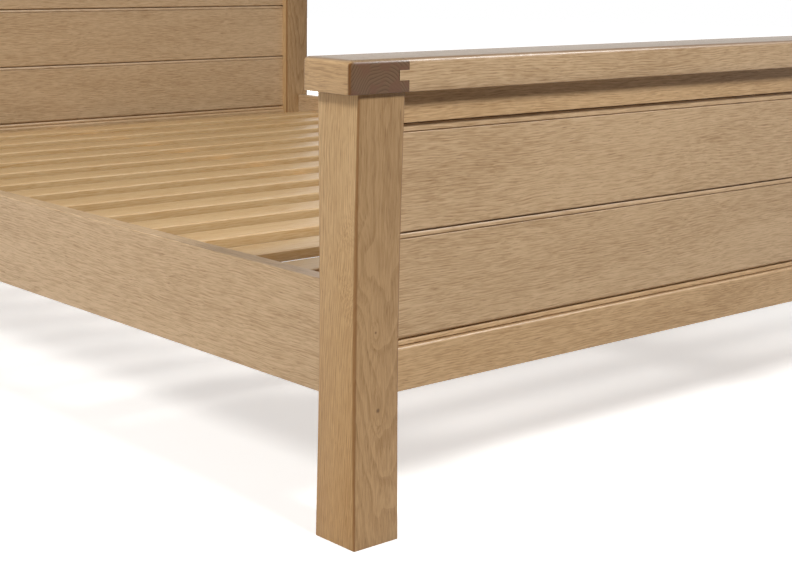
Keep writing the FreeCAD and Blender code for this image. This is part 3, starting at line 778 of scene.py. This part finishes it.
def mouldedNylon():
    # Black nylon, moulded in a spark-eroded tool: matt, with a fine even grain, greyer where it rubs.
    material, tree, shader = newMaterial("mouldedNylon")
    place = addNode(tree, "TexCoord").outputs["Object"]
    grain = addNode(tree, "TexNoise", {"Scale": nylonLook["grain"], "Detail": 1}, {"Vector": place})
    clouds = addNode(tree, "TexNoise", {"Scale": nylonLook["rub"], "Detail": 2}, {"Vector": place})
    tree.links.new(mixColour(tree, clouds.outputs["Fac"], nylonLook["tone"], nylonLook["worn"]),
                   shader.inputs["Base Color"])
    shader.inputs["Roughness"].default_value = nylonLook["rough"]
    bump = addNode(tree, "Bump", {"Strength": 0.25, "Distance": 0.2 * millimetre},
                   {"Height": grain.outputs["Fac"]})
    tree.links.new(bump.outputs[0], shader.inputs["Normal"])
    return material


def birchPlywood():
    # Birch plywood, sawn into strips: pale veneers with brown glue lines between them.
    material, tree, shader = newMaterial("birchPlywood")
    place = addNode(tree, "TexCoord").outputs["Object"]
    plies = addNode(tree, "TexWave", {"bands_direction": "Y", "Distortion": 0.3,
                    "Scale": waveTurn / (plyLook["veneer"] * millimetre)}, {"Vector": place})
    lines = addNode(tree, "MapRange", {"From Min": 0.75, "From Max": 1.0},
                    {"Value": plies.outputs["Fac"]})
    fibres = addNode(tree, "Mapping", {"Scale": (20, 600, 600)}, {"Vector": place})
    fibres = addNode(tree, "TexNoise", {"Scale": 1, "Detail": 2}, {"Vector": fibres.outputs[0]})
    share = addNode(tree, "Math", {"operation": "MULTIPLY_ADD", 1: 0.25},
                    {0: fibres.outputs["Fac"], 2: lines.outputs[0]})
    tree.links.new(mixColour(tree, share.outputs[0], plyLook["pale"], plyLook["glue"]),
                   shader.inputs["Base Color"])
    shader.inputs["Roughness"].default_value = plyLook["rough"]
    return material


steel, nylon, plywood = zincPlatedSteel(), mouldedNylon(), birchPlywood()


print("levelling feet")
footMake = {
    "facets": 64,
    "hub": 11 * millimetre,
    "disc": 4.5 * millimetre,
    "lip": 3.3 * millimetre,
    "socket": 6.3 * millimetre,
    "socketTop": 7.3 * millimetre,
    "socketFloor": 3.4 * millimetre,
    "edge": 0.9 * millimetre,
    "edgeSteps": 3,
    "hexTop": 17.7 * millimetre,  # above the floor
    "hexHigh": 4.7 * millimetre,
    "acrossFlats": 13 * millimetre,
    "hexChamfer": 0.7 * millimetre,
    "button": 6 * millimetre,  # foot of the stem, held in the pad's socket
    "buttonHigh": 3.3 * millimetre,
    "buttonEdge": 0.6 * millimetre,
    "buttonFacets": 40,
    "buttonSteps": 2,
    "neck": 3 * millimetre,
    "runIn": 0.4 * millimetre,  # plain above the hexagon, where the thread starts
    "lap": millimetre,  # how far the pieces of a stem stand in each other
}
threadMake = {
    "radius": 4 * millimetre,
    "core": 3.38 * millimetre,
    "plain": 3.95 * millimetre,
    "pitch": 1.25 * millimetre,
    "depth": 0.7 * millimetre,
    "flatten": 0.6,  # height of a tooth's section against its depth
    "steps": 20,
    "pointEase": 0.8 * millimetre,
    "facets": 32,
    "limitFacets": 48,  # of the chamfered round bar that a hexagon is cut from
}


def startRound(name, radius, low, high, x=0.0, y=0.0, facets=64):
    bpy.ops.object.select_all(action="DESELECT")
    bpy.ops.mesh.primitive_cylinder_add(vertices=facets, radius=radius, depth=high - low,
                                        location=(x, y, (low + high) / 2))
    piece = bpy.context.object
    piece.name = piece.data.name = name
    bpy.ops.object.transform_apply(location=True, rotation=True, scale=True)
    return piece


def stepFace(height, size, centre):
    # carries the selected face to a new height and a new width round its centre, with new walls
    bpy.ops.mesh.extrude_region_move(TRANSFORM_OT_translate={"value": (0, 0, height)})
    bpy.ops.transform.resize(value=(size, size, 1), center_override=centre)


def makePad(end):
    nodeName = f"leveller_pad_{end}"
    low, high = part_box(nodeName)
    middle = (low + high) / 2
    radius = (high.x - low.x) / 2
    pad = startRound(nodeName + "_nylon", radius, low.z, footMake["disc"], middle.x, middle.y,
                     footMake["facets"])
    pick(pad, "FACE", lambda c: allAt(c, footMake["disc"]))
    centre = (middle.x, middle.y, 0)
    top = high.z
    stepFace(0, footMake["hub"] / radius, centre)
    stepFace(top - footMake["disc"], 1, centre)
    stepFace(0, footMake["lip"] / footMake["hub"], centre)
    stepFace(footMake["socketTop"] - top, 1, centre)
    stepFace(0, footMake["socket"] / footMake["lip"], centre)
    stepFace(footMake["socketFloor"] - footMake["socketTop"], 1, centre)
    bpy.ops.object.mode_set(mode="OBJECT")

    def outerRing(corners):
        out = [math.hypot(p.x - middle.x, p.y - middle.y) for p in corners]
        onRim = all(abs(o - radius) < hair for o in out)
        onHub = all(abs(o - footMake["hub"]) < hair for o in out) and allAt(corners, top)
        return isLevel(corners) and (onRim or onHub)

    roundOver(pad, outerRing, footMake["edge"], footMake["edgeSteps"])
    finishPiece(pad, nylon, nodeName, f"pad_{end}")


def addThread(start, length):
    # a three-cornered tooth wound round the axis, from start upwards for the given length
    turns = int(length / threadMake["pitch"]) - 1
    bpy.ops.object.select_all(action="DESELECT")
    bpy.ops.mesh.primitive_circle_add(vertices=3, radius=threadMake["depth"], location=(0, 0, 0))
    tooth = bpy.context.object
    tooth.name = tooth.data.name = "thread"
    tooth.rotation_euler = (math.radians(90), 0, 0)
    bpy.ops.object.transform_apply(location=True, rotation=True, scale=True)
    tip = max(v.co.x for v in tooth.data.vertices)
    pick(tooth, "VERT", lambda c: True)
    bpy.ops.transform.resize(value=(1, 1, threadMake["flatten"]))
    bpy.ops.transform.translate(value=(threadMake["radius"] - tip, 0, 0))
    bpy.ops.object.mode_set(mode="OBJECT")
    applyModifier(tooth, "SCREW", angle=2 * math.pi, screw_offset=threadMake["pitch"], iterations=turns,
                  steps=threadMake["steps"], render_steps=threadMake["steps"], use_merge_vertices=False,
                  use_smooth_shade=False)
    bpy.ops.object.mode_set(mode="EDIT")
    bpy.ops.mesh.select_mode(type="EDGE")
    bpy.ops.mesh.select_all(action="DESELECT")
    bpy.ops.mesh.select_non_manifold(extend=False)
    bpy.ops.mesh.edge_face_add()
    bpy.ops.mesh.select_all(action="SELECT")
    bpy.ops.mesh.normals_make_consistent(inside=False)
    bpy.ops.object.mode_set(mode="OBJECT")
    setDown(tooth, start, (0, 0, math.pi))  # the thread starts half a turn round
    return tooth


def joinAll(pieces, name):
    bpy.ops.object.select_all(action="DESELECT")
    for piece in pieces:
        piece.select_set(True)
    bpy.context.view_layer.objects.active = pieces[0]
    if len(pieces) > 1:
        bpy.ops.object.join()
    pieces[0].name = pieces[0].data.name = name
    return pieces[0]


def makeHexagon(name, acrossFlats, low, high, x, y, chamfer):
    corner = acrossFlats / math.sqrt(3)
    hexagon = startRound(name, corner, low, high, x, y, 6)
    limit = startRound("limit", corner, low, high, x, y, threadMake["limitFacets"])
    roundOver(limit, isLevel, chamfer, 1)
    carve(hexagon, limit, "INTERSECT")
    return hexagon


def makeStem(end):
    nodeName = f"leveller_stem_{end}"
    low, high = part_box(nodeName)
    middle = (low + high) / 2
    x, y = middle.x, middle.y
    lap, facets = footMake["lap"], threadMake["facets"]
    hexTop = footMake["hexTop"]
    hexLow = hexTop - footMake["hexHigh"]
    hexagon = makeHexagon("hexagon", footMake["acrossFlats"], hexLow, hexTop, x, y,
                          footMake["hexChamfer"])
    button = startRound("button", footMake["button"], low.z, low.z + footMake["buttonHigh"], x, y,
                        footMake["buttonFacets"])
    roundOver(button, isLevel, footMake["buttonEdge"], footMake["buttonSteps"])
    neck = startRound("neck", footMake["neck"], low.z + 2 * lap, hexLow + lap, x, y, facets)
    shank = startRound("shank", threadMake["core"], hexTop - lap, high.z, x, y, facets)
    roundOver(shank, lambda c: allAt(c, high.z), threadMake["pointEase"], 1)
    thread = addThread((x, y, hexTop + footMake["runIn"]), high.z - hexTop)
    stem = joinAll([hexagon, button, neck, shank, thread], nodeName + "_steel")
    finishPiece(stem, steel, nodeName, f"stem_{end}")


for end in ("foot", "head"):
    makePad(end)
    makeStem(end)


print("bed bolts")
boltMake = {
    "seat": 1014 * millimetre,  # end of the side rail from the middle of the bed
    "reach": 34 * millimetre,  # thread held in the post
    "wall": 45 * millimetre,  # end of the rail to the outer face of the washer
    "nut": 6.5 * millimetre,
    "nutChamfer": 0.9 * millimetre,
    "nutBore": 4.1 * millimetre,
    "tail": 4 * millimetre,
    "acrossFlats": 13 * millimetre,
    "place": (774 * millimetre, 270 * millimetre),  # across the bed, and above the floor
    "threadStart": 0.5 * millimetre,
    "plainEnd": 2 * millimetre,  # from the far end of the bolt
}


def makeBolts():
    bolts, nuts = [], []
    x, z = boltMake["place"]
    length = boltMake["reach"] + boltMake["wall"] + boltMake["nut"] + boltMake["tail"]
    facets = threadMake["facets"]
    for side in (-1, 1):
        for end in (-1, 1):
            tip = end * (boltMake["seat"] - boltMake["wall"] - boltMake["nut"] - boltMake["tail"])
            shank = startRound("shank", threadMake["core"], 0, length, facets=facets)
            roundOver(shank, isLevel, threadMake["pointEase"], 1)
            plain = startRound("plain", threadMake["plain"], boltMake["reach"],
                               length - boltMake["plainEnd"], facets=facets)
            thread = addThread((0, 0, boltMake["threadStart"]), boltMake["reach"])
            bolt = joinAll([shank, plain, thread], "bolt")
            nut = makeHexagon("nut", boltMake["acrossFlats"], boltMake["tail"],
                              boltMake["tail"] + boltMake["nut"], 0, 0, boltMake["nutChamfer"])
            carve(nut, startRound("bore", boltMake["nutBore"], 0, length, facets=facets))
            for piece, group in ((bolt, bolts), (nut, nuts)):
                outward = Vector((0, end, 0))
                setDown(piece, (side * x, tip, z), outward.to_track_quat("Z", "X").to_euler())
                group.append(piece)
    finishPiece(joinAll(bolts, "bed_bolts_threaded"), steel, "bed_bolts")
    finishPiece(joinAll(nuts, "bed_bolt_nuts_chamfered"), steel, "bed_bolt_nuts")


makeBolts()


print("screws")
screwMake = {
    "head": 4.1 * millimetre,
    "cone": 2.6 * millimetre,
    "proud": 0.25 * millimetre,
    "shank": 1.9 * millimetre,
    "point": 2.4 * millimetre,
    "tip": 0.1,  # width of the tip against the shank
    "recess": (0.9 * millimetre, 4.4 * millimetre, 1.5 * millimetre),  # cross: width, length and depth
    "facets": 28,
    "turnStep": 37,  # degrees from one screw's cross to the next
    "slat": (745 * millimetre, 30 * millimetre),  # place across the bed, and length
    "cleat": (280 * millimetre, 32 * millimetre),  # distance along the cleat, and length
    "cleatEachWay": 3,  # screws on each side of the middle one
    "hanger": (36 * millimetre, 22 * millimetre),  # place across the bed, and length
    "hangerPlate": 2.5 * millimetre,
    "hangerLow": 10 * millimetre,  # from the hanger's lower end, and next from its upper
    "hangerHigh": 9 * millimetre,
}


def makeScrew(length):
    # countersunk, cross-recessed, its head at zero and its point down
    screw = startRound("screw", screwMake["head"], -screwMake["cone"], 0, facets=screwMake["facets"])
    pick(screw, "FACE", lambda c: allAt(c, -screwMake["cone"]))
    size = screwMake["shank"] / screwMake["head"]
    bpy.ops.transform.resize(value=(size, size, 1), center_override=(0, 0, 0))
    stepFace(screwMake["cone"] + screwMake["point"] - length, 1, (0, 0, 0))
    stepFace(-screwMake["point"], screwMake["tip"], (0, 0, 0))
    bpy.ops.object.mode_set(mode="OBJECT")
    width, long, deep = screwMake["recess"]
    for size in ((width, long), (long, width)):
        carve(screw, startBlock("cross", (-size[0] / 2, -size[1] / 2, -deep),
                                (size[0] / 2, size[1] / 2, overshoot)))
    return screw


def placeScrews(name, length, places, material):
    model = makeScrew(length)
    copies = []
    for number, (place, direction) in enumerate(places):
        copy = model.copy()
        copy.data = model.data.copy()
        bpy.context.collection.objects.link(copy)
        outward = Vector(direction)
        spin = Matrix.Rotation(math.radians(screwMake["turnStep"] * number), 3, "Z")
        turned = outward.to_track_quat("Z", "Y").to_matrix() @ spin
        setDown(copy, Vector(place) + outward * screwMake["proud"], turned.to_euler())
        copies.append(copy)
    bpy.data.objects.remove(model)
    screws = joinAll(copies, name)
    softShade(screws)
    dress(screws, material)
    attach(screws, "frame")


across, slatLength = screwMake["slat"]
slatPlaces = []
for number in range(1, barMake["slats"] + 1):
    low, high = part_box(f"slat_{number:02d}")
    for side in (-1, 1):
        slatPlaces.append(((side * across, (low.y + high.y) / 2, high.z), (0, 0, 1)))
placeScrews("slat_screws", slatLength, slatPlaces, steel)

pitch, cleatLength = screwMake["cleat"]
cleatPlaces = []
for side in ("left", "right"):
    low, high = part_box(f"slat_cleat_{side}")
    inner, inward = (high.x, 1) if side == "left" else (low.x, -1)
    for number in range(-screwMake["cleatEachWay"], screwMake["cleatEachWay"] + 1):
        cleatPlaces.append(((inner, number * pitch, (low.z + high.z) / 2), (inward, 0, 0)))
placeScrews("cleat_screws", cleatLength, cleatPlaces, steel)

apart, hangerLength = screwMake["hanger"]
hangerPlaces = []
for end, bedward in (("foot", 1), ("head", -1)):
    low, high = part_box(f"centre_rail_hanger_{end}")
    plate = (low.y if end == "foot" else high.y) + bedward * screwMake["hangerPlate"]
    for side in (-1, 1):
        for height in (low.z + screwMake["hangerLow"], high.z - screwMake["hangerHigh"]):
            hangerPlaces.append(((side * apart, plate, height), (0, bedward, 0)))
placeScrews("hanger_screws", hangerLength, hangerPlaces, steel)

print("pieces kept from the frame")
keptWood = {  # part of the name, and the kind of wood
    "panel_board": "board", "bottom_rail": "rail", "top_rail": "rail", "side_rail": "side_rail",
    "centre_leg": "leg",
}
keptSteel = ("centre_rail_hanger", "half_moon_washers", "leg_inserts")
for nodeName in sorted(nodeObjects):
    piece = nodeObjects[nodeName]
    kinds = [kind for part, kind in keptWood.items() if part in nodeName]
    if kinds:
        dress(piece, woodFor(nodeName, kinds[0]))
    elif nodeName == "centre_rail":
        dress(piece, woodFor(nodeName, "bearer"))
    elif nodeName.endswith("spline"):
        dress(piece, plywood)
    elif nodeName.startswith(keptSteel):
        dress(piece, steel)

print("sizes")
low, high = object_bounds()
